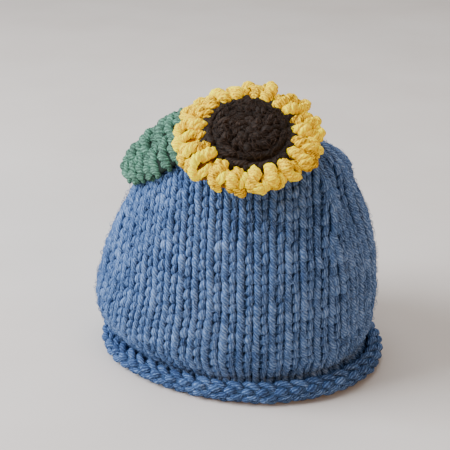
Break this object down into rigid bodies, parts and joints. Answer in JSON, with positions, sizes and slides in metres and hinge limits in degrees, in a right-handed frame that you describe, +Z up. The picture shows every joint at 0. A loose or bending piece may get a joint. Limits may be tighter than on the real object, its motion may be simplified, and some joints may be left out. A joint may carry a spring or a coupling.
{
  "type": "tea cosy",
  "caption": "Domed hand-knitted cover that keeps a small teapot warm, with a rolled hem, openings for the spout and handle, and a crocheted sunflower and leaf on top.",
  "frame": {"origin": "on the ground, under the middle of the object's bounding box", "axes": "+Z up, +X towards the handle opening, -X towards the spout opening, -Y towards the front, where the flower leans"},
  "size_m": [0.1345, 0.1089, 0.1257],
  "materials": {
    "blue_yarn": "matte knitted wool-like yarn",
    "green_yarn": "matte crocheted yarn",
    "yellow_yarn": "matte crocheted yarn",
    "brown_yarn": "matte crocheted yarn"
  },
  "bodies": {
    "root": {"cosy_body": "blue_yarn", "leaf": "green_yarn", "flower_petals": "yellow_yarn", "flower_centre": "brown_yarn"}
  },
  "joints": []
}
